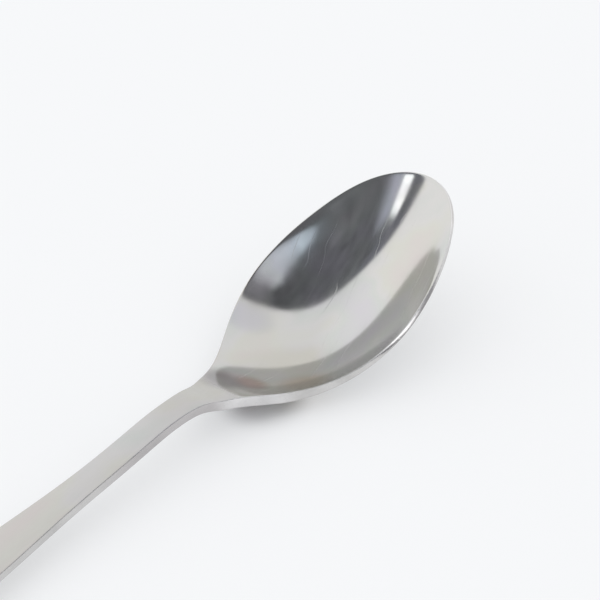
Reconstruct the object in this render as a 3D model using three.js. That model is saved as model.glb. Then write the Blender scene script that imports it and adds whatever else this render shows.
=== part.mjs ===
// Serving spoon, pressed from one blank of stainless steel, lying on a table with its hollow up.
// Millimetres. X runs along the spoon to the tip of the bowl, Y across it and Z up from the table.
// The bowl, the neck and the handle are regions of one sheet and meet face to face.
import * as THREE from 'three';

// Bowl, its length measured level from the start of the hollow to the tip
const bowlLength = 81;
const bowlWidth = 46;
const bowlDepth = 12.1;
const tipRise = 25;
const bowlSheetThickness = 1.25;
const rootEdgeThickness = 2.8;

// Neck, the narrow shank behind the bowl
const neckLength = 24;
const neckWidth = 7;
const neckMidThickness = 2.9;
const neckEdgeThickness = 2.2;

// Handle, from the neck to its round end
const handleLength = 125;
const handleEndWidth = 19;
const handleEndRadius = 15;
const handleEdgeThickness = 1.8;
const crownHeight = 0.35;
const archRise = 3.25;

// Flats that the spoon rests on, this deep, under the bowl and under the end of the handle
const restFlatDepth = 0.35;

// Places that follow from the sizes, along X from the start of the hollow
const shankLength = neckLength + handleLength;
const handleMidThickness = handleEdgeThickness + crownHeight;

// Half width of the bowl, [share of bowlLength, share of half its width], up to the widest place
const flareWidthShares = [
  [0.000, 0.251], [0.055, 0.330], [0.115, 0.436], [0.206, 0.617], [0.300, 0.800], [0.400, 0.936],
  [0.460, 0.983], [0.517, 1.000],
];
const widestShare = 0.517;

// Rise of the rim above its lowest place, [share of bowlLength, share of tipRise]
const rimRiseShares = [
  [0.000, 0.117], [0.030, 0.090], [0.060, 0.064], [0.115, 0.022], [0.190, 0.000], [0.250, 0.016],
  [0.300, 0.050], [0.425, 0.191], [0.610, 0.452], [0.800, 0.718], [0.900, 0.869], [1.000, 1.000],
];

// Depth of the hollow under the rim, [share of bowlLength, share of bowlDepth]
const hollowShares = [
  [0.000, 0.000], [0.030, 0.021], [0.060, 0.053], [0.100, 0.110], [0.160, 0.215], [0.230, 0.367],
  [0.310, 0.572], [0.400, 0.798], [0.500, 0.963], [0.560, 0.999], [0.600, 0.996], [0.700, 0.909],
  [0.800, 0.724], [0.900, 0.430], [0.950, 0.229], [1.000, 0.000],
];

// Power that shapes the round section of the hollow, [share of bowlLength, power]: above 1 it leaves
// a soft lip along the edge, at the neck and round the tip
const lipPowers = [
  [0.000, 1.13], [0.120, 1.05], [0.300, 1.03], [0.550, 1.04], [0.720, 1.14], [0.840, 1.30], [1.000, 1.38],
];

// Half width of the shank, [share of shankLength behind the hollow, share from neckWidth to handleEndWidth]
const shankWidthShares = [
  [0.000, 0.379], [0.030, 0.165], [0.070, 0.032], [0.120, 0.000], [0.200, 0.000], [0.300, 0.045],
  [0.400, 0.215], [0.550, 0.480], [0.720, 0.770], [0.840, 0.940], [0.899, 1.000],
];

// Height of the arch above a straight line from the end to the hollow,
// [share of shankLength, share of archRise]
const archShares = [
  [0.000, 0.000], [0.020, 0.218], [0.044, 0.642], [0.080, 0.945], [0.120, 1.000], [0.160, 0.873],
  [0.206, 0.681], [0.306, 0.431], [0.418, 0.238], [0.570, 0.060], [0.738, 0.000], [1.000, 0.000],
];

// Share of the half length at which a fan of curved rows still reaches the outline
const fanShare = 0.6;

// Share of bowlLength over which the steel's thickness turns from upright to square to the sheet inside
// the bowl, and shares between which the wall round the rim leans over until it is square to the sheet too
const squareShare = 0.3;
const rimLeanShares = [0.25, 0.55];

// Share of bowlLength over which the thick root thins out in the middle of the sheet,
// and shares between which it thins out along the rim
const rootMidShare = 0.25;
const rootRimShares = [0.125, 0.48];

// Rows and columns of each piece
const bowlBackRows = 14;
const bowlFrontRows = 12;
const neckRows = 10;
const handleRows = 20;
const handleEndRows = 6;
const columns = 20;

// Smooth curve through a table of [place, value]: a cubic spline, whose slope and bend have no breaks.
// At each end it has the slope of the parabola through the last three points. The slopes between
// settle in rounds, each set by its neighbours.
const settlingRounds = 40;
function smoothCurve(table) {
  const last = table.length - 1;
  const span = (i) => table[i + 1][0] - table[i][0];
  const chord = (i) => (table[i + 1][1] - table[i][1]) / span(i);
  const endSlope = (i, next) => chord(i) + (chord(i) - chord(next)) * span(i) / (span(i) + span(next));
  const slopes = table.map((_, i) => chord(Math.min(i, last - 1)));
  slopes[0] = endSlope(0, 1);
  slopes[last] = endSlope(last - 1, last - 2);
  for (let round = 0; round < settlingRounds; round += 1) {
    for (let i = 1; i < last; i += 1) {
      const before = 1 / span(i - 1);
      const after = 1 / span(i);
      const chords = 3 * (chord(i - 1) * before + chord(i) * after);
      slopes[i] = (chords - slopes[i - 1] * before - slopes[i + 1] * after) / (2 * (before + after));
    }
  }
  return (place) => {
    let k = 0;
    while (k < last - 1 && place > table[k + 1][0]) {
      k += 1;
    }
    const t = THREE.MathUtils.clamp((place - table[k][0]) / span(k), 0, 1);
    const t2 = t * t;
    const t3 = t2 * t;
    const leaving = (t3 - 2 * t2 + t) * slopes[k] * span(k);
    const arriving = (t3 - t2) * slopes[k + 1] * span(k);
    return THREE.MathUtils.lerp(table[k][1], table[k + 1][1], 3 * t2 - 2 * t3) + leaving + arriving;
  };
}
const flareWidthAt = smoothCurve(flareWidthShares);
const rimRiseAt = smoothCurve(rimRiseShares);
const hollowAt = smoothCurve(hollowShares);
const lipPowerAt = smoothCurve(lipPowers);
const shankWidthAt = smoothCurve(shankWidthShares);
const archAt = smoothCurve(archShares);

const mix = THREE.MathUtils.lerp;
const ease = THREE.MathUtils.smoothstep;

// A fan of rows turns from a straight row at the widest place into the round outline at the end
const fanHalfShare = Math.sqrt(1 - fanShare * fanShare);
function fanBend(v) {
  return (1 - Math.sqrt(1 - (fanHalfShare * v) ** 2)) / (1 - fanShare);
}

// Plan of the spoon: the point of row s, named by its place on the centre line, at v from -1 to 1 across it
function planPoint(s, v) {
  const widest = widestShare * bowlLength;
  const frontLength = bowlLength - widest;
  const endStart = handleEndRadius - shankLength;
  if (s > widest) {
    const t = (s - widest) / frontLength;
    const half = Math.sqrt(1 - (fanShare * t) ** 2) * bowlWidth / 2;
    return [s - (1 - fanShare) * t * frontLength * fanBend(v), half * v];
  }
  if (s >= 0) {
    return [s, flareWidthAt(s / bowlLength) * bowlWidth / 2 * v];
  }
  if (s >= endStart) {
    const share = shankWidthAt(-s / shankLength);
    return [s, mix(neckWidth, handleEndWidth, share) / 2 * v];
  }
  const t = (endStart - s) / handleEndRadius;
  const half = Math.sqrt(1 - (fanShare * t) ** 2) * handleEndWidth / 2;
  return [s + (1 - fanShare) * t * handleEndRadius * fanBend(v), half * v];
}

// Depth of the middle of a row under its edges: the hollow of the bowl, or less than zero for a crown
function dishDepth(s) {
  const crown = crownHeight * (1 - ease(s, -neckLength, 0)) * ease(s + shankLength, 0, handleEndRadius);
  return s > 0 ? hollowAt(s / bowlLength) * bowlDepth : -crown;
}

// Thickness of the steel in the middle and at the edges of a row
function midThickness(s) {
  const shank = mix(neckMidThickness, handleMidThickness, ease(-s, neckLength, shankLength / 2));
  return mix(shank, bowlSheetThickness, ease(s, 0, rootMidShare * bowlLength));
}
function edgeThickness(s) {
  const shank = mix(neckEdgeThickness, handleEdgeThickness, ease(-s, neckLength, shankLength / 2));
  const root = mix(shank, rootEdgeThickness, ease(s, -neckLength / 2, 0));
  const [thinFrom, thinTo] = rootRimShares;
  return mix(root, bowlSheetThickness, ease(s, thinFrom * bowlLength, thinTo * bowlLength));
}

// The rim stands so high that the belly of the bowl, its flat cut away, just reaches the table
const scanSteps = 200;
let bellyDrop = 0;
for (let i = 0; i <= scanSteps; i += 1) {
  const s = bowlLength * i / scanSteps;
  const rise = rimRiseAt(s / bowlLength) * tipRise;
  bellyDrop = Math.min(bellyDrop, rise - dishDepth(s) - midThickness(s));
}
const lowestRimHeight = -bellyDrop - restFlatDepth;
const rootHeight = lowestRimHeight + rimRiseAt(0) * tipRise;
const endHeight = handleMidThickness - restFlatDepth;

// Height of the spoon's edges above the table
function edgeHeight(x) {
  if (x > 0) {
    return lowestRimHeight + rimRiseAt(x / bowlLength) * tipRise;
  }
  const share = -x / shankLength;
  return mix(rootHeight, endHeight, share) + archAt(share) * archRise;
}

// A point of the top face, and the point of the underside below it.
// The underside is straight below along the shank and the root, and square to the sheet in the bowl.
function topPoint(s, v) {
  const [x, y] = planPoint(s, v);
  const section = Math.max(1 - v * v, 0) ** lipPowerAt(s / bowlLength);
  return new THREE.Vector3(x, y, edgeHeight(x) - dishDepth(s) * section);
}
const probeShare = 0.005;
function undersidePoint(s, v) {
  const probe = probeShare * bowlLength;
  const sIn = THREE.MathUtils.clamp(s, probe - shankLength, bowlLength - probe);
  const vIn = THREE.MathUtils.clamp(v, probeShare - 1, 1 - probeShare);
  const alongSpoon = topPoint(sIn + probe, vIn).sub(topPoint(sIn - probe, vIn));
  const acrossSpoon = topPoint(sIn, vIn + probeShare).sub(topPoint(sIn, vIn - probeShare));
  const normal = alongSpoon.cross(acrossSpoon).normalize();
  const upright = new THREE.Vector3(0, 0, 1);
  const frontShare = Math.max(s / bowlLength - widestShare, 0) / (1 - widestShare);
  const inside = (1 - v ** 4) * (1 - frontShare ** 4);
  const [leanFrom, leanTo] = rimLeanShares;
  const square = mix(inside, 1, ease(s, leanFrom * bowlLength, leanTo * bowlLength));
  const offset = upright.lerp(normal, square * ease(s, 0, squareShare * bowlLength)).normalize();
  const thickness = mix(midThickness(s), edgeThickness(s), v * v);
  const point = topPoint(s, v).addScaledVector(offset, -thickness);
  point.z = Math.max(point.z, 0);
  return point;
}

// Closed body between two places on the centre line, from the given rows
function sheetBody(rows) {
  const positions = [];
  const index = [];
  const rowSize = columns + 1;
  const layerSize = rows.length * rowSize;
  for (const pointAt of [topPoint, undersidePoint]) {
    for (const s of rows) {
      for (let j = 0; j <= columns; j += 1) {
        positions.push(...pointAt(s, 2 * j / columns - 1));
      }
    }
  }
  const top = (i, j) => i * rowSize + j;
  const under = (i, j) => layerSize + i * rowSize + j;
  const quad = (a, b, c, d) => index.push(a, b, c, a, c, d);
  const lastRow = rows.length - 1;
  for (let i = 0; i < lastRow; i += 1) {
    for (let j = 0; j < columns; j += 1) {
      quad(top(i, j), top(i + 1, j), top(i + 1, j + 1), top(i, j + 1));
      quad(under(i, j), under(i, j + 1), under(i + 1, j + 1), under(i + 1, j));
    }
    quad(under(i, 0), under(i + 1, 0), top(i + 1, 0), top(i, 0));
    quad(top(i, columns), top(i + 1, columns), under(i + 1, columns), under(i, columns));
  }
  for (let j = 0; j < columns; j += 1) {
    quad(top(0, j), top(0, j + 1), under(0, j + 1), under(0, j));
    quad(under(lastRow, j), under(lastRow, j + 1), top(lastRow, j + 1), top(lastRow, j));
  }
  const geometry = new THREE.BufferGeometry();
  geometry.setAttribute('position', new THREE.Float32BufferAttribute(positions, 3));
  geometry.setIndex(index);
  geometry.computeVertexNormals();
  return geometry;
}

// Places of evenly spaced rows from one place to another, both of them included
function evenRows(from, to, count) {
  return Array.from({ length: count + 1 }, (_, i) => mix(from, to, i / count));
}

function bowl() {
  const widest = widestShare * bowlLength;
  const back = evenRows(0, widest, bowlBackRows);
  const front = evenRows(widest, bowlLength, bowlFrontRows).slice(1);
  return sheetBody([...back, ...front]);
}

function neck() {
  return sheetBody(evenRows(-neckLength, 0, neckRows));
}

function handle() {
  const endStart = handleEndRadius - shankLength;
  const end = evenRows(-shankLength, endStart, handleEndRows);
  const length = evenRows(endStart, -neckLength, handleRows).slice(1);
  return sheetBody([...end, ...length]);
}

// Polished inside the bowl, satin along the shank
const polishedSteel = { color: 0xc9c9c8, metalness: 1, roughness: 0.12 };
const satinSteel = { color: 0xc2c1c0, metalness: 1, roughness: 0.38 };

function piece(name, geometry, finish) {
  const mesh = new THREE.Mesh(geometry, new THREE.MeshStandardMaterial(finish));
  mesh.name = name;
  return mesh;
}

// The origin is on the table, under the middle of the spoon's length
const spoon = new THREE.Group();
spoon.add(piece('bowl', bowl(), polishedSteel));
spoon.add(piece('neck', neck(), satinSteel));
spoon.add(piece('handle', handle(), satinSteel));
const extent = new THREE.Box3().setFromObject(spoon);
spoon.position.x = -(extent.min.x + extent.max.x) / 2;

export default spoon;
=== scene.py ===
"""Serving spoon: a pressed steel sheet with a polished bowl and a satin neck and handle, on a pale table."""
import bisect
import math

import bmesh
import bpy
from mathutils import Euler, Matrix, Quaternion, Vector


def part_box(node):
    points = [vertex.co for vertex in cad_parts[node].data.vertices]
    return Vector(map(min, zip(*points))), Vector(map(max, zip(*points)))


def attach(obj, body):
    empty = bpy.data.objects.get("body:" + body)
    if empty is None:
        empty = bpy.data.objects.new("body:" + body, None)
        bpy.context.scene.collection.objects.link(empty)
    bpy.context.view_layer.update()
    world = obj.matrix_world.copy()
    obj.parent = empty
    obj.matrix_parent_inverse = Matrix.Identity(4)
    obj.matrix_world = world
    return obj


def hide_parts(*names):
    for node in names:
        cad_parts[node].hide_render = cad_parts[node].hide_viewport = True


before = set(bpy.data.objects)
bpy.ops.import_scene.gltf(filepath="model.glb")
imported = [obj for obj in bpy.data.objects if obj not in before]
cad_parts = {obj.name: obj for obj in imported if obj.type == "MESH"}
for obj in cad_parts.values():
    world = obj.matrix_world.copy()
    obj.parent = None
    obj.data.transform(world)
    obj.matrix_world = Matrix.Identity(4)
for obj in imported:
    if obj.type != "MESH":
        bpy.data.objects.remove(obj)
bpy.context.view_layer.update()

bl_info = {
    "name": "Serving Spoon",
    "version": (1, 0, 0),
    "blender": (4, 5, 0),
    "location": "3D View > Sidebar > Serving Spoon",
    "description": "Models and finishes a pressed steel serving spoon on its packed frame",
    "category": "Add Mesh",
}

HOLLOW_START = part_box("neck")[1].x
NECK_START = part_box("neck")[0].x


def length(name, description, default):
    return bpy.props.FloatProperty(
        name=name,
        description=description,
        default=default,
        min=0.0,
        unit="LENGTH",
        subtype="DISTANCE",
        precision=5,
    )


def share(name, description, default):
    return bpy.props.FloatProperty(
        name=name, description=description, default=default, min=0.0, max=1.0, subtype="FACTOR"
    )


def amount(name, description, default):
    return bpy.props.FloatProperty(name=name, description=description, default=default, min=0.0)


def angle(name, description, degrees):
    return bpy.props.FloatProperty(
        name=name, description=description, default=math.radians(degrees), unit="ROTATION", subtype="ANGLE"
    )


def colour(name, description, default):
    return bpy.props.FloatVectorProperty(
        name=name, description=description, default=default, min=0.0, max=1.0, size=3, subtype="COLOR"
    )


class ServingSpoonSizes(bpy.types.PropertyGroup):
    """Sizes of the pressed sheet"""

    bowl_length: length("Bowl length", "Level length from the start of the hollow to the tip", 0.081)
    bowl_width: length("Bowl width", "Width of the bowl at its widest place", 0.046)
    bowl_depth: length("Bowl depth", "Greatest depth of the hollow under its rim", 0.0121)
    tip_rise: length("Tip rise", "Height of the tip above the lowest place of the rim", 0.025)
    sheet_thickness: length("Bowl thickness", "Thickness of the steel in the bowl", 0.00125)
    root_edge_thickness: length("Root edge", "Thickness of the edge where the hollow starts", 0.0028)
    neck_length: length("Neck length", "Length of the narrow shank", HOLLOW_START - NECK_START)
    neck_width: length("Neck width", "Width of the neck at its narrowest place", 0.007)
    neck_middle: length("Neck middle", "Thickness in the middle of the neck", 0.0029)
    neck_edge: length("Neck edge", "Thickness of the neck's edges", 0.0022)
    handle_length: length("Handle length", "Length of the handle up to its round end", 0.125)
    handle_width: length("Handle width", "Width of the handle near its end", 0.019)
    handle_end: length("Handle end", "Length of the round end of the handle", 0.015)
    handle_edge: length("Handle edge", "Thickness of the handle's edges", 0.0018)
    crown: length("Crown", "Rise of the middle of the handle above its edges", 0.00035)
    arch: length("Arch", "Rise of the handle behind the bowl", 0.00325)
    rest_flat: length("Resting flat", "Depth of the flats worn under the bowl and the handle", 0.00035)
    edge_round: length("Edge round", "Width of the rounding along both sides of the rim", 0.00025)


class ServingSpoonFinish(bpy.types.PropertyGroup):
    """Colours, polish and wear of the steel"""

    polished_steel: colour("Polished steel", "Colour of the steel where it is polished", (0.48, 0.471, 0.458))
    satin_steel: colour("Satin steel", "Colour of the steel where it is satin", (0.455, 0.447, 0.442))
    edge_steel: colour("Edge steel", "Colour of the ground edge", (0.68, 0.67, 0.66))
    polish_roughness: share("Polish roughness", "Roughness inside the bowl", 0.1)
    satin_roughness: share("Satin roughness", "Roughness of the neck and the handle", 0.36)
    edge_roughness: share("Edge roughness", "Roughness of the ground edge", 0.24)
    satin_start: length("Satin start", "Where the polish begins inside the hollow", 0.0)
    satin_fade: length("Satin fade", "Length over which satin turns into polish", 0.003)
    tint_size: length("Tint size", "Size of the pale coloured patches that washing leaves", 0.016)
    tint_strength: share("Tint strength", "Strength of those patches", 0.9)
    smudge_size: length("Smudge size", "Size of the dull clouds in the polish", 0.007)
    smudge_roughness: share("Smudge roughness", "Roughness that the clouds add", 0.05)
    hairline_spacing: length("Hairline spacing", "Size that sets how far apart the scratches lie", 0.0025)
    hairline_roughness: share("Hairline roughness", "Roughness of the fine scratches", 0.3)
    grain_spacing: length("Grain spacing", "Distance between the lines of the satin grain", 0.00035)
    grain_depth: length("Grain depth", "Depth of the satin grain", 0.000006)
    edge_mark_size: length("Edge mark size", "Length of the light and dark marks along the edge", 0.009)


class ServingSpoonStage(bpy.types.PropertyGroup):
    """Table, light and camera"""

    table_colour: colour("Table", "Colour of the table", (0.93, 0.94, 0.955))
    table_size: length("Table size", "Side of the table", 6.0)
    table_gap: length("Table gap", "Gap under the spoon", 0.00005)
    fill_strength: amount("Fill light", "Strength of the soft light from all round", 1.0)
    table_glow: share("Table glow", "How far the table's own paleness lightens the shadow on it", 0.47)
    camera_azimuth: angle("Camera azimuth", "Direction of the camera round the spoon", -50.08)
    camera_elevation: angle("Camera elevation", "Height of the camera above the table, as an angle", 31.88)
    camera_roll: angle("Camera roll", "Turn of the camera about its own axis", -1.21)
    camera_distance: length("Camera distance", "Distance from the camera to its target", 0.3155)
    camera_target: bpy.props.FloatVectorProperty(
        name="Camera target",
        description="Point that the camera looks at",
        default=(0.06654, 0.0024, 0.01614),
        size=3,
        unit="LENGTH",
        subtype="XYZ",
    )
    lens: bpy.props.FloatProperty(
        name="Lens", description="Focal length in millimetres", default=78.5, min=1.0, unit="CAMERA"
    )


# Tables of [place, value]. Places and values are shares of the lengths that each comment names.

# Half width of the bowl: of its length, of half its width
FLARE_SHARES = (
    (0.000, 0.251), (0.055, 0.330), (0.115, 0.436), (0.206, 0.617), (0.300, 0.800), (0.400, 0.936),
    (0.460, 0.983), (0.517, 1.000),
)
WIDEST_SHARE = 0.517

# Rise of the rim above its lowest place: of the bowl's length, of the tip rise
RIM_SHARES = (
    (0.000, 0.117), (0.030, 0.090), (0.060, 0.064), (0.115, 0.022), (0.190, 0.000), (0.250, 0.016),
    (0.300, 0.050), (0.425, 0.191), (0.610, 0.452), (0.800, 0.718), (0.900, 0.869), (1.000, 1.000),
)

# Depth of the hollow under the rim: of the bowl's length, of its depth
HOLLOW_SHARES = (
    (0.000, 0.000), (0.030, 0.021), (0.060, 0.053), (0.100, 0.110), (0.160, 0.215), (0.230, 0.367),
    (0.310, 0.572), (0.400, 0.798), (0.500, 0.963), (0.560, 0.999), (0.600, 0.996), (0.700, 0.909),
    (0.800, 0.724), (0.900, 0.430), (0.950, 0.229), (1.000, 0.000),
)

# Power that shapes the round section of the hollow: of the bowl's length, the power. Above 1 it leaves a
# soft lip
LIP_POWERS = (
    (0.000, 1.13), (0.120, 1.05), (0.300, 1.03), (0.550, 1.04), (0.720, 1.14), (0.840, 1.30), (1.000, 1.38),
)

# Half width of the shank, from the bowl back: of the shank's length, from the neck's width to the handle's
SHANK_SHARES = (
    (0.000, 0.379), (0.030, 0.165), (0.070, 0.032), (0.120, 0.000), (0.200, 0.000), (0.300, 0.045),
    (0.400, 0.215), (0.550, 0.480), (0.720, 0.770), (0.840, 0.940), (0.899, 1.000),
)

# Height of the arch, from the bowl back: of the shank's length, of the arch
ARCH_SHARES = (
    (0.000, 0.000), (0.020, 0.218), (0.044, 0.642), (0.080, 0.945), (0.120, 1.000), (0.160, 0.873),
    (0.206, 0.681), (0.306, 0.431), (0.418, 0.238), (0.570, 0.060), (0.738, 0.000), (1.000, 0.000),
)

# Share of an end's length at which its curved rows still reach the side of the outline
FAN_SHARE = 0.6
# Share of the bowl's length over which the thickness turns from upright to square to the sheet, inside its
# rim, and shares between which the wall round the rim leans over until it is square to the sheet too
SQUARE_SHARE = 0.3
RIM_LEAN_SHARES = (0.25, 0.55)
# Shares of the bowl's length over which the thick root thins out, in the middle and along the rim
ROOT_MIDDLE_SHARE = 0.25
ROOT_RIM_SHARES = (0.125, 0.48)
# Share of a length or a half width over which a slope is measured
PROBE_SHARE = 0.005
# Where the rings round the sheet lie, as shares of the half width and of an end's length
RING_SHARES = (0.76, 0.82, 0.88, 0.94, 1.0)

# Rows of points of each stretch, columns from the middle to the first ring, and rounds of subdivision
HANDLE_END_ROWS = 6
HANDLE_ROWS = 20
NECK_ROWS = 12
BOWL_BACK_ROWS = 24
BOWL_FRONT_ROWS = 16
COLUMNS = 9
SUBDIVISION_LEVELS = 2
# Places along the bowl at which its lowest point is looked for
BELLY_STEPS = 200

# Shares of the edge round: how near the middle a point belongs to it, and how near two halves' points join
MIDDLE_SHARE = 0.01
JOIN_SHARE = 0.1
# Rounding of the rim's edges: the least angle of an edge in degrees, its steps and its profile
SHARP_ANGLE = 50
ROUND_STEPS = 2
ROUND_PROFILE = 0.5
# Angle in degrees up to which faces shade as one
SMOOTH_ANGLE = 40
# Distance in metres within which a point lies on a cut
CUT_REACH = 1e-7


def mix(start, end, part):
    return start + (end - start) * part


def ease(value, start, end):
    part = min(max((value - start) / (end - start), 0.0), 1.0)
    return part * part * (3 - 2 * part)


class SmoothCurve:
    """A cubic spline through a table's points, whose slope and bend have no breaks.

    At each end it has the slope of the parabola through the last three points.
    """

    SETTLING_ROUNDS = 40

    def __init__(self, table):
        self.places = [place for place, _ in table]
        self.values = [value for _, value in table]
        last = len(table) - 1
        self.slopes = [self.chord(min(index, last - 1)) for index in range(last + 1)]
        self.slopes[0] = self.end_slope(0, 1)
        self.slopes[last] = self.end_slope(last - 1, last - 2)
        for _ in range(self.SETTLING_ROUNDS):
            for index in range(1, last):
                before, after = 1 / self.span(index - 1), 1 / self.span(index)
                chords = 3 * (self.chord(index - 1) * before + self.chord(index) * after)
                neighbours = self.slopes[index - 1] * before + self.slopes[index + 1] * after
                self.slopes[index] = (chords - neighbours) / (2 * (before + after))

    def span(self, index):
        return self.places[index + 1] - self.places[index]

    def chord(self, index):
        return (self.values[index + 1] - self.values[index]) / self.span(index)

    def end_slope(self, index, following):
        spans = self.span(index) + self.span(following)
        return self.chord(index) + (self.chord(index) - self.chord(following)) * self.span(index) / spans

    def at(self, place):
        low = min(max(bisect.bisect_left(self.places, place) - 1, 0), len(self.places) - 2)
        span = self.span(low)
        part = min(max((place - self.places[low]) / span, 0.0), 1.0)
        rise = 3 * part**2 - 2 * part**3
        leaving = (part - 2 * part**2 + part**3) * self.slopes[low] * span
        arriving = (part**3 - part**2) * self.slopes[low + 1] * span
        return mix(self.values[low], self.values[low + 1], rise) + leaving + arriving


FLARE = SmoothCurve(FLARE_SHARES)
RIM = SmoothCurve(RIM_SHARES)
HOLLOW = SmoothCurve(HOLLOW_SHARES)
LIP = SmoothCurve(LIP_POWERS)
SHANK = SmoothCurve(SHANK_SHARES)
ARCH = SmoothCurve(ARCH_SHARES)


class SheetShape:
    """Where each point of the sheet lies.

    A point is named by its place along the spoon, from the start of the hollow, and across it, from -1 to 1.
    """

    def __init__(self, sizes):
        self.sizes = sizes
        self.shank = sizes.neck_length + sizes.handle_length
        self.widest = WIDEST_SHARE * sizes.bowl_length
        self.front = sizes.bowl_length - self.widest
        self.end_start = sizes.handle_end - self.shank
        self.handle_middle = sizes.handle_edge + sizes.crown
        places = [sizes.bowl_length * step / BELLY_STEPS for step in range(BELLY_STEPS + 1)]
        drops = [self.belly_drop(place) for place in places]
        self.rim_low = -min(drops) - sizes.rest_flat
        self.root_height = self.rim_low + self.rim_rise(0)
        self.end_height = self.handle_middle - sizes.rest_flat

    def rim_rise(self, place):
        return RIM.at(place / self.sizes.bowl_length) * self.sizes.tip_rise

    def belly_drop(self, place):
        return self.rim_rise(place) - self.dish_depth(place) - self.middle_thickness(place)

    def fan_bend(self, across):
        side = math.sqrt(1 - FAN_SHARE**2) * across
        return (1 - math.sqrt(1 - side**2)) / (1 - FAN_SHARE)

    def plan(self, along, across):
        """Level place of a point, with the rows curved at both ends of the spoon"""
        sizes = self.sizes
        if along > self.widest:
            part = (along - self.widest) / self.front
            back = (1 - FAN_SHARE) * part * self.front * self.fan_bend(across)
            return along - back, math.sqrt(1 - (FAN_SHARE * part) ** 2) * sizes.bowl_width / 2 * across
        if along >= 0:
            return along, FLARE.at(along / sizes.bowl_length) * sizes.bowl_width / 2 * across
        if along >= self.end_start:
            part = SHANK.at(-along / self.shank)
            return along, mix(sizes.neck_width, sizes.handle_width, part) / 2 * across
        part = (self.end_start - along) / sizes.handle_end
        ahead = (1 - FAN_SHARE) * part * sizes.handle_end * self.fan_bend(across)
        return along + ahead, math.sqrt(1 - (FAN_SHARE * part) ** 2) * sizes.handle_width / 2 * across

    def dish_depth(self, along):
        """Depth of the middle of a row under its edges, or less than zero where it is crowned"""
        sizes = self.sizes
        if along > 0:
            return HOLLOW.at(along / sizes.bowl_length) * sizes.bowl_depth
        fade = 1 - ease(along, -sizes.neck_length, 0)
        return -sizes.crown * fade * ease(along + self.shank, 0, sizes.handle_end)

    def middle_thickness(self, along):
        sizes = self.sizes
        shank = mix(sizes.neck_middle, self.handle_middle, ease(-along, sizes.neck_length, self.shank / 2))
        return mix(shank, sizes.sheet_thickness, ease(along, 0, ROOT_MIDDLE_SHARE * sizes.bowl_length))

    def edge_thickness(self, along):
        sizes = self.sizes
        shank = mix(sizes.neck_edge, sizes.handle_edge, ease(-along, sizes.neck_length, self.shank / 2))
        root = mix(shank, sizes.root_edge_thickness, ease(along, -sizes.neck_length / 2, 0))
        start, end = ROOT_RIM_SHARES
        thinning = ease(along, start * sizes.bowl_length, end * sizes.bowl_length)
        return mix(root, sizes.sheet_thickness, thinning)

    def edge_height(self, place):
        if place > 0:
            return self.rim_low + self.rim_rise(place)
        part = -place / self.shank
        return mix(self.root_height, self.end_height, part) + ARCH.at(part) * self.sizes.arch

    def top(self, along, across):
        place, side = self.plan(along, across)
        section = max(1 - across**2, 0) ** LIP.at(along / self.sizes.bowl_length)
        return Vector((place, side, self.edge_height(place) - self.dish_depth(along) * section))

    def square_to_sheet(self, along, across):
        """Direction square to the top face, pointing up"""
        probe = PROBE_SHARE * self.sizes.bowl_length
        along = min(max(along, probe - self.shank), self.sizes.bowl_length - probe)
        across = min(max(across, PROBE_SHARE - 1), 1 - PROBE_SHARE)
        lengthwise = self.top(along + probe, across) - self.top(along - probe, across)
        sidewise = self.top(along, across + PROBE_SHARE) - self.top(along, across - PROBE_SHARE)
        return lengthwise.cross(sidewise).normalized()

    def underside(self, along, across):
        upright = Vector((0, 0, 1))
        front = max(along - self.widest, 0) / self.front
        inside = (1 - across**4) * (1 - front**4)
        start, end = RIM_LEAN_SHARES
        square = mix(inside, 1, ease(along, start * self.sizes.bowl_length, end * self.sizes.bowl_length))
        turn = square * ease(along, 0, SQUARE_SHARE * self.sizes.bowl_length)
        direction = upright.lerp(self.square_to_sheet(along, across), turn).normalized()
        thickness = mix(self.middle_thickness(along), self.edge_thickness(along), across**2)
        point = self.top(along, across) - direction * thickness
        point.z = max(point.z, 0)
        return point

    def outward(self, along, across, growth):
        """The point on the next ring outside a point of the last ring"""
        if along > self.widest:
            along = self.widest + (along - self.widest) * growth
        elif along < self.end_start:
            along = self.end_start - (self.end_start - along) * growth
        return along, across * growth

    def rows(self):
        """Places of the rows along the middle of the sheet, inside its rings"""
        sizes = self.sizes
        inner = RING_SHARES[0]
        stretches = (
            (self.end_start - inner * sizes.handle_end, self.end_start, HANDLE_END_ROWS),
            (self.end_start, -sizes.neck_length, HANDLE_ROWS),
            (-sizes.neck_length, 0, NECK_ROWS),
            (0, self.widest, BOWL_BACK_ROWS),
            (self.widest, self.widest + inner * self.front, BOWL_FRONT_ROWS),
        )
        places = [mix(start, end, step / count) for start, end, count in stretches for step in range(count)]
        return places + [stretches[-1][1]]

    def columns(self):
        """Places of the columns from the middle of the sheet to its first ring"""
        return [RING_SHARES[0] * step / COLUMNS for step in range(COLUMNS + 1)]


# Material slots of each piece
SHEET_SLOT = 0
EDGE_SLOT = 1


def select_faces(mesh, wanted):
    """In edit mode, selects the faces that wanted accepts"""
    bpy.ops.mesh.select_all(action="DESELECT")
    bpy.ops.mesh.select_mode(type="FACE")
    for face in bmesh.from_edit_mesh(mesh).faces:
        if wanted(face):
            face.select_set(True)


def pull_selected(mesh, place_of):
    """In edit mode, moves each selected point to the place that goes with its names along and across"""
    sheet = bmesh.from_edit_mesh(mesh)
    along = sheet.verts.layers.float["along"]
    across = sheet.verts.layers.float["across"]
    chosen = [point for point in sheet.verts if point.select]
    bpy.ops.mesh.select_mode(type="VERT")
    bpy.ops.mesh.select_all(action="DESELECT")
    for point in chosen:
        point.select_set(True)
        bpy.ops.transform.translate(value=place_of(point[along], point[across]) - point.co)
        point.select_set(False)
    for point in chosen:
        point.select_set(True)


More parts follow.
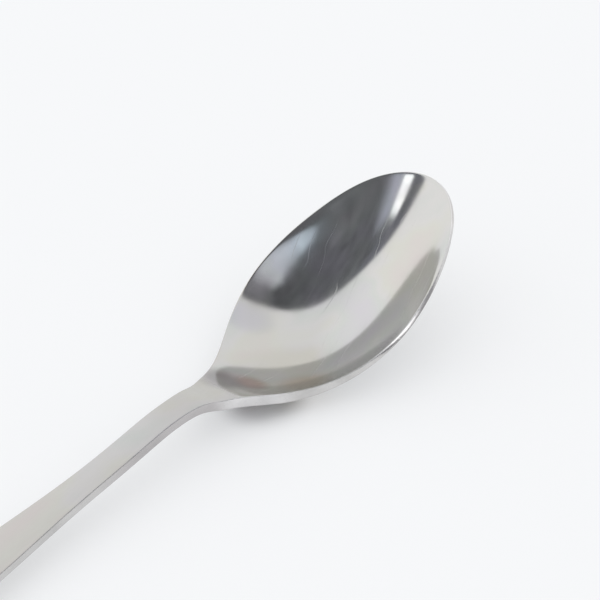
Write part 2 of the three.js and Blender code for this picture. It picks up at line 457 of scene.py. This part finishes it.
def lay_blank(shape):
    """A flat grid whose points are named by their row and column, in edit mode, all selected"""
    rows, columns = shape.rows(), shape.columns()
    bpy.ops.object.select_all(action="DESELECT")
    bpy.ops.mesh.primitive_grid_add(
        x_subdivisions=len(rows) - 1, y_subdivisions=len(columns) - 1, size=shape.sizes.bowl_length
    )
    blank = bpy.context.object
    bpy.ops.object.mode_set(mode="EDIT")
    sheet = bmesh.from_edit_mesh(blank.data)
    along = sheet.verts.layers.float.new("along")
    across = sheet.verts.layers.float.new("across")
    for point in sheet.verts:
        point[along] = rows[point.index % len(rows)]
        point[across] = columns[point.index // len(rows)]
    return blank


def add_ring(mesh, shape, growth):
    """Extrudes the outer edge of the half sheet and moves it one ring outward"""
    bpy.ops.mesh.select_mode(type="EDGE")
    bpy.ops.mesh.select_all(action="DESELECT")
    sheet = bmesh.from_edit_mesh(mesh)
    across = sheet.verts.layers.float["across"]
    for edge in sheet.edges:
        on_middle = all(point[across] == 0 for point in edge.verts)
        edge.select_set(edge.is_boundary and not on_middle)
    bpy.ops.mesh.extrude_edges_move()
    sheet = bmesh.from_edit_mesh(mesh)
    along = sheet.verts.layers.float["along"]
    across = sheet.verts.layers.float["across"]
    for point in sheet.verts:
        if point.select:
            point[along], point[across] = shape.outward(point[along], point[across], growth)
    pull_selected(mesh, shape.top)


def mark_edge(mesh):
    """Gives the wall round the sheet, whose points share their names in pairs, the second material"""
    sheet = bmesh.from_edit_mesh(mesh)
    along = sheet.verts.layers.float["along"]
    across = sheet.verts.layers.float["across"]
    for face in sheet.faces:
        names = {(point[along], point[across]) for point in face.verts}
        face.material_index = EDGE_SLOT if len(names) == 2 else SHEET_SLOT


def press_half_sheet(shape):
    """One half of the sheet: its top, its underside and the wall round its edge"""
    half = lay_blank(shape)
    pull_selected(half.data, shape.top)
    for inner, outer in zip(RING_SHARES, RING_SHARES[1:]):
        add_ring(half.data, shape, outer / inner)
    bpy.ops.mesh.select_all(action="SELECT")
    drop = (0, 0, -shape.sizes.sheet_thickness)
    bpy.ops.mesh.extrude_region_move(TRANSFORM_OT_translate={"value": drop})
    pull_selected(half.data, shape.underside)
    middle = shape.sizes.edge_round * MIDDLE_SHARE
    select_faces(half.data, lambda face: all(abs(point.co.y) < middle for point in face.verts))
    bpy.ops.mesh.delete(type="FACE")
    mark_edge(half.data)
    bpy.ops.mesh.select_all(action="SELECT")
    bpy.ops.transform.translate(value=(HOLLOW_START, 0, 0))
    bpy.ops.object.mode_set(mode="OBJECT")
    return half


def apply_modifier(piece, kind, **settings):
    modifier = piece.modifiers.new(kind.title(), kind)
    for name, value in settings.items():
        setattr(modifier, name, value)
    bpy.ops.object.modifier_apply(modifier=modifier.name)


def finish_sheet(sheet, sizes):
    """Mirrors the half sheet, rounds both edges of its rim and smooths it"""
    apply_modifier(
        sheet, "MIRROR", use_axis=(False, True, False), merge_threshold=sizes.edge_round * JOIN_SHARE
    )
    bpy.ops.object.mode_set(mode="EDIT")
    bpy.ops.mesh.select_all(action="SELECT")
    bpy.ops.mesh.normals_make_consistent(inside=False)
    bpy.ops.mesh.select_mode(type="EDGE")
    bpy.ops.mesh.select_all(action="DESELECT")
    bpy.ops.mesh.edges_select_sharp(sharpness=math.radians(SHARP_ANGLE))
    bpy.ops.mesh.bevel(
        offset=sizes.edge_round, segments=ROUND_STEPS, profile=ROUND_PROFILE, affect="EDGES"
    )
    bpy.ops.object.mode_set(mode="OBJECT")
    apply_modifier(sheet, "SUBSURF", levels=SUBDIVISION_LEVELS, render_levels=SUBDIVISION_LEVELS)


def cut_region(sheet, name, start, end):
    """A copy of the sheet between two places along X, closed at its cuts"""
    bpy.ops.object.select_all(action="DESELECT")
    sheet.select_set(True)
    bpy.context.view_layer.objects.active = sheet
    bpy.ops.object.duplicate()
    region = bpy.context.object
    region.name = name
    region.data.name = name
    for place, clears in ((start, {"clear_inner": True}), (end, {"clear_outer": True})):
        if place is None:
            continue
        bpy.ops.object.mode_set(mode="EDIT")
        bpy.ops.mesh.select_mode(type="VERT")
        bpy.ops.mesh.select_all(action="SELECT")
        bpy.ops.mesh.bisect(
            plane_co=(place, 0, 0), plane_no=(1, 0, 0), use_fill=True, threshold=CUT_REACH, **clears
        )
        bpy.ops.object.mode_set(mode="OBJECT")
    bpy.ops.object.shade_smooth_by_angle(angle=math.radians(SMOOTH_ANGLE))
    return region


def add_node(tree, kind, inputs=None, **settings):
    """A shader node with its settings, and its inputs set to a value or linked to a socket"""
    made = tree.nodes.new(kind)
    for name, value in settings.items():
        setattr(made, name, value)
    for name, value in (inputs or {}).items():
        if isinstance(value, bpy.types.NodeSocket):
            tree.links.new(value, made.inputs[name])
        else:
            made.inputs[name].default_value = value
    return made


def new_group(name, inputs, outputs):
    """An empty shader node group, with the sockets that its effect takes and gives"""
    group = bpy.data.node_groups.new(name, "ShaderNodeTree")
    for socket, kind in inputs:
        group.interface.new_socket(name=socket, in_out="INPUT", socket_type="NodeSocket" + kind)
    for socket, kind in outputs:
        group.interface.new_socket(name=socket, in_out="OUTPUT", socket_type="NodeSocket" + kind)
    given = group.nodes.new("NodeGroupInput").outputs
    result = group.nodes.new("NodeGroupOutput").inputs
    return group, given, result


def math_node(tree, operation, *values):
    return add_node(tree, "ShaderNodeMath", dict(enumerate(values)), operation=operation).outputs["Value"]


def vector_node(tree, operation, *values, output="Vector"):
    inputs = dict(enumerate(values))
    return add_node(tree, "ShaderNodeVectorMath", inputs, operation=operation).outputs[output]


def mix_numbers(tree, part, first, second):
    inputs = {"Factor": part, "A": first, "B": second}
    return add_node(tree, "ShaderNodeMix", inputs).outputs["Result"]


def mix_colours(tree, part, first, second, blend="MIX"):
    inputs = {"Factor": part, "A": first, "B": second}
    mixed = add_node(tree, "ShaderNodeMix", inputs, data_type="RGBA", blend_type=blend)
    return mixed.outputs["Result"]


def mix_shaders(tree, part, first, second):
    return add_node(tree, "ShaderNodeMixShader", {0: part, 1: first, 2: second}).outputs["Shader"]


def map_range(tree, value, start, end, low, high, interpolation="LINEAR"):
    inputs = {"Value": value, "From Min": start, "From Max": end, "To Min": low, "To Max": high}
    return add_node(tree, "ShaderNodeMapRange", inputs, interpolation_type=interpolation).outputs["Result"]


def soft_spot(tree, distance, inner, outer):
    """1 within the inner distance and 0 past the outer one, with a soft step between"""
    return map_range(tree, distance, inner, outer, 1.0, 0.0, "SMOOTHSTEP")


def scaled_noise(tree, place, size, stretch, detail):
    """Noise whose patches measure size across the spoon, and stretch times as much along it"""
    flat = vector_node(tree, "MULTIPLY", place, (1 / stretch, 1, 1))
    inputs = {"Vector": flat, "Scale": math_node(tree, "DIVIDE", 1.0, size), "Detail": detail}
    return add_node(tree, "ShaderNodeTexNoise", inputs).outputs["Fac"]


WHITE = (1, 1, 1, 1)

# Pale colours that washing leaves on steel, and the noise value at which each lies
TINTS = (
    (0.30, (1.00, 0.95, 0.93)),
    (0.42, (0.99, 1.00, 0.94)),
    (0.50, (1.00, 1.00, 1.00)),
    (0.58, (0.94, 0.98, 0.96)),
    (0.70, (0.95, 0.94, 1.00)),
)
TINT_STRETCH = 1.6
TINT_DETAIL = 2.0

# Dull clouds: the noise values between which they thicken
SMUDGE_STRETCH = 1.4
SMUDGE_DETAIL = 4.0
SMUDGE_FROM = 0.35
SMUDGE_TO = 0.7

# Scratches lie in rows that slant across the spoon and drift to and fro, and only parts of them are kept.
# Sizes are in spacings, and the drift and a line's half width in rows.
ROW_SLANT = -0.2
ROW_SIZE = 1.6
DRIFT_SIZE = 4.0
DRIFT_STRETCH = 4.0
DRIFT_DETAIL = 1.5
DRIFT_ROWS = 1.8
LINE_HALF_WIDTH = 0.035
BREAK_SIZE = 2.5
BREAK_STRETCH = 4.0
KEPT_FROM = 0.5
KEPT_TO = 0.68

# Satin grain: the noise values between which it rises
GRAIN_STRETCH = 14.0
GRAIN_DETAIL = 3.0
GRAIN_FROM = 0.25
GRAIN_TO = 0.75


def washed_tint_group():
    """Pale rainbow patches on the steel"""
    takes = (("Vector", "Vector"), ("Size", "Float"), ("Strength", "Float"))
    group, given, result = new_group("washed_tint", takes, (("Color", "Color"),))
    noise = scaled_noise(group, given["Vector"], given["Size"], TINT_STRETCH, TINT_DETAIL)
    ramp = add_node(group, "ShaderNodeValToRGB", {"Fac": noise})
    stops = ramp.color_ramp.elements
    for place, _ in TINTS[1:-1]:
        stops.new(place)
    for stop, (place, tint) in zip(stops, TINTS):
        stop.position = place
        stop.color = (*tint, 1)
    mixed = mix_colours(group, given["Strength"], WHITE, ramp.outputs["Color"])
    group.links.new(mixed, result["Color"])
    return group


def smudge_group():
    """Dull clouds, from 0 to 1"""
    takes = (("Vector", "Vector"), ("Size", "Float"))
    group, given, result = new_group("smudges", takes, (("Value", "Float"),))
    noise = scaled_noise(group, given["Vector"], given["Size"], SMUDGE_STRETCH, SMUDGE_DETAIL)
    clouds = map_range(group, noise, SMUDGE_FROM, SMUDGE_TO, 0.0, 1.0, "SMOOTHSTEP")
    group.links.new(clouds, result["Value"])
    return group


def hairline_group():
    """Thin wandering scratches along the spoon, from 0 to 1, that break off here and there"""
    takes = (("Vector", "Vector"), ("Spacing", "Float"))
    group, given, result = new_group("hairlines", takes, (("Value", "Float"),))

    def in_spacings(count):
        return math_node(group, "MULTIPLY", given["Spacing"], count)

    across = vector_node(group, "DOT_PRODUCT", given["Vector"], (ROW_SLANT, 1, 0), output="Value")
    rows = math_node(group, "DIVIDE", across, in_spacings(ROW_SIZE))
    drift = scaled_noise(group, given["Vector"], in_spacings(DRIFT_SIZE), DRIFT_STRETCH, DRIFT_DETAIL)
    bent = math_node(group, "ADD", rows, math_node(group, "MULTIPLY", drift, DRIFT_ROWS))
    place_in_row = math_node(group, "FRACT", bent)
    from_middle = math_node(group, "ABSOLUTE", math_node(group, "SUBTRACT", place_in_row, 0.5))
    line = map_range(group, from_middle, 0.0, LINE_HALF_WIDTH, 1.0, 0.0)
    breaks = scaled_noise(group, given["Vector"], in_spacings(BREAK_SIZE), BREAK_STRETCH, 0.0)
    kept = map_range(group, breaks, KEPT_FROM, KEPT_TO, 0.0, 1.0)
    group.links.new(math_node(group, "MULTIPLY", line, kept), result["Value"])
    return group


def grain_group():
    """Short fine lines along the spoon, from 0 to 1"""
    takes = (("Vector", "Vector"), ("Spacing", "Float"))
    group, given, result = new_group("satin_grain", takes, (("Value", "Float"),))
    noise = scaled_noise(group, given["Vector"], given["Spacing"], GRAIN_STRETCH, GRAIN_DETAIL)
    group.links.new(map_range(group, noise, GRAIN_FROM, GRAIN_TO, 0.0, 1.0), result["Value"])
    return group


# Grey and brown patches painted into the hollow near its root, where its second reflection shows: painted
# reflection colour. Each has its distance past the start of the hollow in metres, place across from -1 to 1,
# size in metres and colour
ROOT_PAINTED_REFLECTION = (
    (0.0055, 0.43, 0.0075, (0.52, 0.50, 0.51)),
    (0.0115, -0.02, 0.0055, (0.77, 0.60, 0.56)),
    (0.0205, -0.58, 0.0085, (0.86, 0.77, 0.66)),
)
# Share of a painted patch's size within which it is full
PAINTED_PATCH_CORE_SHARE = 0.3

# Painted reflection on stretches of the ground edge, darker on the neck and lighter where the rim starts:
# distance past the start of the hollow, half length where it is full and where it ends, in metres, and colour
EDGE_PAINTED_REFLECTIONS = (
    (-0.018, 0.012, 0.026, (0.55, 0.53, 0.53)),
    (0.004, 0.004, 0.011, (0.78, 0.77, 0.77)),
)
# Marks on the ground edge, and how far the grain changes the roughness of satin and edge
EDGE_MARK_STRENGTH = 0.5
EDGE_MARK_COLOUR = (0.6, 0.6, 0.6, 1)
SATIN_GRAIN_ROUGHNESS = 0.05
EDGE_GRAIN_ROUGHNESS = 0.06


class SteelFinish:
    """The spoon's materials, and the effects that they share"""

    def __init__(self, finish, shape):
        self.finish = finish
        self.shape = shape
        self.washed_tint = washed_tint_group()
        self.smudges = smudge_group()
        self.hairlines = hairline_group()
        self.grain = grain_group()

    def effect(self, tree, group, **inputs):
        return add_node(tree, "ShaderNodeGroup", inputs, node_tree=group).outputs[0]

    def grained(self, tree, grain, roughness, change):
        """Roughness that the grain raises and lowers by a change"""
        return map_range(tree, grain, 0.0, 1.0, roughness - change, roughness + change)

    def new_material(self, name):
        material = bpy.data.materials.new(name)
        material.use_nodes = True
        tree = material.node_tree
        tree.nodes.clear()
        place = add_node(tree, "ShaderNodeTexCoord").outputs["Object"]
        return material, tree, place

    def finish_material(self, tree, base, roughness, height, depth):
        bump = add_node(tree, "ShaderNodeBump", {"Height": height, "Distance": depth})
        inputs = {
            "Base Color": base,
            "Metallic": 1.0,
            "Roughness": roughness,
            "Normal": bump.outputs["Normal"],
        }
        shader = add_node(tree, "ShaderNodeBsdfPrincipled", inputs)
        add_node(tree, "ShaderNodeOutputMaterial", {"Surface": shader.outputs["BSDF"]})

    def with_painted_root_reflection(self, tree, place, base):
        """Colour with grey and brown reflection colour painted near the root of the hollow"""
        for past, across, size, painted_colour in ROOT_PAINTED_REFLECTION:
            centre = self.shape.top(past, across) + Vector((HOLLOW_START, 0, 0))
            apart = vector_node(tree, "DISTANCE", place, centre, output="Value")
            mask = soft_spot(tree, apart, PAINTED_PATCH_CORE_SHARE * size, size)
            base = mix_colours(tree, mask, base, (*painted_colour, 1), "MULTIPLY")
        return base

    def sheet_material(self, name):
        """Satin on the shank, and past the start of the hollow polish with smudges, scratches and tints"""
        finish = self.finish
        material, tree, place = self.new_material(name)
        along = add_node(tree, "ShaderNodeSeparateXYZ", {"Vector": place}).outputs["X"]
        start = HOLLOW_START + finish.satin_start
        polish = map_range(tree, along, start, start + finish.satin_fade, 0.0, 1.0, "SMOOTHSTEP")
        steel = mix_colours(tree, polish, (*finish.satin_steel, 1), (*finish.polished_steel, 1))
        tint = self.effect(
            tree, self.washed_tint, Vector=place, Size=finish.tint_size, Strength=finish.tint_strength
        )
        tinted = mix_colours(tree, 1.0, steel, tint, "MULTIPLY")
        # Painted reflection colour: grey and brown patches near the root of the hollow
        base = self.with_painted_root_reflection(tree, place, tinted)
        grain = self.effect(tree, self.grain, Vector=place, Spacing=finish.grain_spacing)
        smudges = self.effect(tree, self.smudges, Vector=place, Size=finish.smudge_size)
        lines = self.effect(tree, self.hairlines, Vector=place, Spacing=finish.hairline_spacing)
        satin = self.grained(tree, grain, finish.satin_roughness, SATIN_GRAIN_ROUGHNESS)
        dullest = finish.polish_roughness + finish.smudge_roughness
        dull = map_range(tree, smudges, 0.0, 1.0, finish.polish_roughness, dullest)
        scratched = mix_numbers(tree, lines, dull, finish.hairline_roughness)
        rough = mix_numbers(tree, polish, satin, scratched)
        height = math_node(tree, "MULTIPLY", grain, math_node(tree, "SUBTRACT", 1.0, polish))
        self.finish_material(tree, base, rough, height, finish.grain_depth)
        return material

    def edge_material(self, name):
        """The ground edge: painted darker and lighter reflection on stretches of it, light and dark marks
        along it, and fine grinding lines
        """
        finish = self.finish
        material, tree, place = self.new_material(name)
        marks = self.effect(tree, self.smudges, Vector=place, Size=finish.edge_mark_size)
        grain = self.effect(tree, self.grain, Vector=place, Spacing=finish.grain_spacing)
        along = add_node(tree, "ShaderNodeSeparateXYZ", {"Vector": place}).outputs["X"]
        base = (*finish.edge_steel, 1)
        # Painted reflection: darker and lighter stretches of the edge's colour
        for past, inner, outer, stretch in EDGE_PAINTED_REFLECTIONS:
            apart = math_node(tree, "ABSOLUTE", math_node(tree, "SUBTRACT", along, HOLLOW_START + past))
            base = mix_colours(tree, soft_spot(tree, apart, inner, outer), base, (*stretch, 1))
        strength = math_node(tree, "MULTIPLY", marks, EDGE_MARK_STRENGTH)
        base = mix_colours(tree, strength, base, EDGE_MARK_COLOUR, "MULTIPLY")
        rough = self.grained(tree, grain, finish.edge_roughness, EDGE_GRAIN_ROUGHNESS)
        self.finish_material(tree, base, rough, grain, finish.grain_depth)
        return material


class SERVINGSPOON_OT_spoon(bpy.types.Operator):
    """Model the spoon and give it its finish"""

    bl_idname = "serving_spoon.spoon"
    bl_label = "Spoon"
    bl_options = {"REGISTER", "UNDO"}

    def execute(self, context):
        sizes = context.scene.serving_spoon_sizes
        finish = context.scene.serving_spoon_finish
        shape = SheetShape(sizes)
        steel = SteelFinish(finish, shape)
        sheet = press_half_sheet(shape)
        finish_sheet(sheet, sizes)
        regions = (
            ("handle", "satin_steel", None, NECK_START),
            ("neck", "satin_steel", NECK_START, HOLLOW_START),
            ("bowl", "polished_steel", HOLLOW_START, None),
        )
        for node, slot, start, end in regions:
            piece = cut_region(sheet, "spoon_" + node, start, end)
            piece.data.materials.append(steel.sheet_material(slot + "_" + node))
            piece.data.materials.append(steel.edge_material("ground_edge_" + node))
            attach(piece, "root")
            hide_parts(node)
        bpy.data.objects.remove(sheet)
        return {"FINISHED"}


def compass(azimuth, elevation):
    """Direction from its angle round from +X and its angle above the table, in degrees"""
    around, above = math.radians(azimuth), math.radians(elevation)
    level = math.cos(above)
    return Vector((math.cos(around) * level, math.sin(around) * level, math.sin(above)))


# Light that shows in the steel: the bright side of the room lies round this direction, out to this angle,
# and its edge is soft this far to each side, in degrees
CEILING_DIRECTION = (41.5, 12.4)
CEILING_ANGLE = 80.4
CEILING_EDGE = 1.5

# Each light has its azimuth and elevation, the inner and outer angle of its soft edge, in degrees, and its
# colour. A later light covers the ones before it.
BRIGHT_SIDE = (1.28, 1.29, 1.315)
BRIGHT_LIGHTS = (
    (36, 34, 5, 28, (1.19, 1.175, 1.175)),
    (105, 34, 5, 48, (1.46, 1.465, 1.48)),
    (-32, 50, 3, 16, (1.10, 1.105, 1.20)),
    (-5, 0, 10, 22, (0.86, 0.84, 0.84)),
)
DIM_SIDE = (0.134, 0.138, 0.152)
DIM_LIGHTS = (
    (175, 60, 5, 50, (0.222, 0.228, 0.250)),
    (120, 58, 0, 22, (0.29, 0.30, 0.36)),
    (-149, 57, 1, 6, (0.25, 0.26, 0.28)),
    (-130, 58.5, 1, 5, (0.35, 0.355, 0.39)),
    (172, 52.5, 1, 8.5, (0.74, 0.77, 0.92)),
    (-65, 48, 4, 13, (0.32, 0.33, 0.38)),
    (-117, 47, 1, 8.5, (0.40, 0.46, 0.50)),
    (-88, 47, 3, 14, (0.90, 0.95, 1.08)),
    (-104, 49, 1, 8, (0.96, 1.09, 1.27)),
    (-58, 14, 12, 26, (0.42, 0.42, 0.44)),
    (-85, 31, 11, 16, (2.6, 2.6, 2.65)),
)
# A window on the dim side, over its streaks
WINDOW_LIGHTS = (
    (158, 52.0, 1.9, 3.1, (2.6, 2.65, 2.75)),
    (154, 51.2, 1.9, 3.1, (2.6, 2.65, 2.75)),
    (150, 50.6, 1.6, 2.7, (2.6, 2.65, 2.75)),
)

# Waviness of the dim lights but for the window: its size on a unit sphere, its strength and its detail
WAVE_SIZE = 0.12
WAVE_STRENGTH = 0.17
WAVE_DETAIL = 2.0
WAVE_MIDDLE = (0.5, 0.5, 0.5)

# Level streaks that mottle the dim side: their size, how flat they are, their strength and their detail
STREAK_SIZE = 0.085
STREAK_FLATNESS = 3.5
STREAK_STRENGTH = 1.5
STREAK_DETAIL = 3.0


def angle_from(tree, direction, azimuth, elevation, inner, outer):
    """1 within the inner angle from a direction and 0 outside the outer angle, with a soft step between"""
    toward = vector_node(tree, "DOT_PRODUCT", direction, compass(azimuth, elevation), output="Value")
    far, near = (math.cos(math.radians(limit)) for limit in (outer, inner))
    return map_range(tree, toward, far, near, 0.0, 1.0, "SMOOTHSTEP")


def with_lights(tree, colour, direction, lights):
    for azimuth, elevation, inner, outer, light in lights:
        part = angle_from(tree, direction, azimuth, elevation, inner, outer)
        colour = mix_colours(tree, part, colour, (*light, 1))
    return colour


def room_noise(tree, place, size, detail):
    inputs = {"Vector": place, "Scale": 1 / size, "Detail": detail}
    return add_node(tree, "ShaderNodeTexNoise", inputs).outputs


def room_in_steel(tree):
    """Colour of the room as the steel shows it"""
    direction = add_node(tree, "ShaderNodeTexCoord").outputs["Generated"]
    noise = room_noise(tree, direction, WAVE_SIZE, WAVE_DETAIL)["Color"]
    wave = vector_node(tree, "SUBTRACT", noise, WAVE_MIDDLE)
    wavy = vector_node(tree, "MULTIPLY_ADD", wave, (WAVE_STRENGTH,) * 3, direction)
    wavy = vector_node(tree, "NORMALIZE", wavy)
    flat = vector_node(tree, "MULTIPLY", wavy, (1, 1, STREAK_FLATNESS))
    streaks = room_noise(tree, flat, STREAK_SIZE, STREAK_DETAIL)["Fac"]
    level = math_node(tree, "MULTIPLY_ADD", streaks, STREAK_STRENGTH, 1 - STREAK_STRENGTH / 2)
    dim = with_lights(tree, (*DIM_SIDE, 1), wavy, DIM_LIGHTS)
    streaked = add_node(tree, "ShaderNodeVectorMath", {0: dim, "Scale": level}, operation="SCALE")
    dim = with_lights(tree, streaked.outputs["Vector"], direction, WINDOW_LIGHTS)
    bright = with_lights(tree, (*BRIGHT_SIDE, 1), direction, BRIGHT_LIGHTS)
    edges = (CEILING_ANGLE - CEILING_EDGE, CEILING_ANGLE + CEILING_EDGE)
    return mix_colours(tree, angle_from(tree, direction, *CEILING_DIRECTION, *edges), dim, bright)


def background(tree, colour, strength):
    inputs = {"Color": colour, "Strength": strength}
    return add_node(tree, "ShaderNodeBackground", inputs).outputs["Background"]


def light_the_stage(world, stage):
    """Plain white light for matt surfaces, the room for the steel, and a backdrop of the table's colour"""
    world.use_nodes = True
    tree = world.node_tree
    tree.nodes.clear()
    rays = add_node(tree, "ShaderNodeLightPath").outputs
    matt = background(tree, WHITE, stage.fill_strength)
    glossy = background(tree, room_in_steel(tree), 1.0)
    backdrop = background(tree, (*stage.table_colour, 1), 1.0)
    by_gloss = mix_shaders(tree, rays["Is Glossy Ray"], matt, glossy)
    by_camera = mix_shaders(tree, rays["Is Camera Ray"], by_gloss, backdrop)
    add_node(tree, "ShaderNodeOutputWorld", {"Surface": by_camera})


# Darkest place of the shadow on the table, and the distances over which the table's glow comes in, in metres
CONTACT_PLACE = (0.0455, -0.0035, 0.0)
CONTACT_REACH = (0.004, 0.0125)

# Nearest distance that the camera shows, in metres
CAMERA_NEAR = 0.01


def table_material(stage):
    """A matt table. Its own glow, which lights nothing matt, lightens the shadow away from the contact"""
    material = bpy.data.materials.new("pale_table")
    material.use_nodes = True
    tree = material.node_tree
    tree.nodes.clear()
    colour = (*stage.table_colour, 1)
    shade = add_node(tree, "ShaderNodeBsdfDiffuse", {"Color": colour}).outputs["BSDF"]
    glow = add_node(tree, "ShaderNodeEmission", {"Color": colour, "Strength": stage.fill_strength})
    rays = add_node(tree, "ShaderNodeLightPath").outputs
    seen = math_node(tree, "MAXIMUM", rays["Is Camera Ray"], rays["Is Glossy Ray"])
    seen = math_node(tree, "MAXIMUM", seen, rays["Is Transmission Ray"])
    place = add_node(tree, "ShaderNodeTexCoord").outputs["Object"]
    apart = vector_node(tree, "DISTANCE", place, CONTACT_PLACE, output="Value")
    part = map_range(tree, apart, *CONTACT_REACH, 0.0, stage.table_glow, "SMOOTHSTEP")
    part = math_node(tree, "MULTIPLY", seen, part)
    shader = mix_shaders(tree, part, shade, glow.outputs["Emission"])
    add_node(tree, "ShaderNodeOutputMaterial", {"Surface": shader})
    return material


class SERVINGSPOON_OT_stage(bpy.types.Operator):
    """Lay the table, light it and set up the camera"""

    bl_idname = "serving_spoon.stage"
    bl_label = "Stage"
    bl_options = {"REGISTER", "UNDO"}

    def execute(self, context):
        scene = context.scene
        stage = scene.serving_spoon_stage
        bpy.ops.object.select_all(action="DESELECT")
        bpy.ops.mesh.primitive_plane_add(size=stage.table_size, location=(0, 0, -stage.table_gap))
        table = context.object
        table.name = "table"
        table.data.materials.append(table_material(stage))
        scene.world = bpy.data.worlds.new("studio")
        light_the_stage(scene.world, stage)
        turn = Euler((math.pi / 2 - stage.camera_elevation, 0, stage.camera_azimuth)).to_quaternion()
        turn = turn @ Quaternion((0, 0, 1), stage.camera_roll)
        back = turn @ Vector((0, 0, 1))
        place = Vector(stage.camera_target) + back * stage.camera_distance
        bpy.ops.object.camera_add(location=place, rotation=turn.to_euler())
        camera = context.object
        camera.name = "camera"
        camera.data.lens = stage.lens
        camera.data.clip_start = CAMERA_NEAR
        scene.camera = camera
        scene.view_settings.view_transform = "Standard"
        return {"FINISHED"}


class SERVINGSPOON_PT_panel(bpy.types.Panel):
    """Serving spoon in the 3D view's sidebar"""

    bl_idname = "SERVINGSPOON_PT_panel"
    bl_label = "Serving Spoon"
    bl_space_type = "VIEW_3D"
    bl_region_type = "UI"
    bl_category = "Serving Spoon"

    def draw(self, context):
        layout = self.layout
        for operator in OPERATORS:
            layout.operator(operator.bl_idname)


OPERATORS = (SERVINGSPOON_OT_spoon, SERVINGSPOON_OT_stage)
GROUPS = {
    "serving_spoon_sizes": ServingSpoonSizes,
    "serving_spoon_finish": ServingSpoonFinish,
    "serving_spoon_stage": ServingSpoonStage,
}


def register():
    for group in GROUPS.values():
        bpy.utils.register_class(group)
    for name, group in GROUPS.items():
        setattr(bpy.types.Scene, name, bpy.props.PointerProperty(type=group))
    for cls in (*OPERATORS, SERVINGSPOON_PT_panel):
        bpy.utils.register_class(cls)


def unregister():
    for cls in (SERVINGSPOON_PT_panel, *OPERATORS):
        bpy.utils.unregister_class(cls)
    for name, group in GROUPS.items():
        delattr(bpy.types.Scene, name)
        bpy.utils.unregister_class(group)


def main():
    register()
    bpy.ops.serving_spoon.spoon()
    bpy.ops.serving_spoon.stage()


if __name__ == "__main__":
    main()
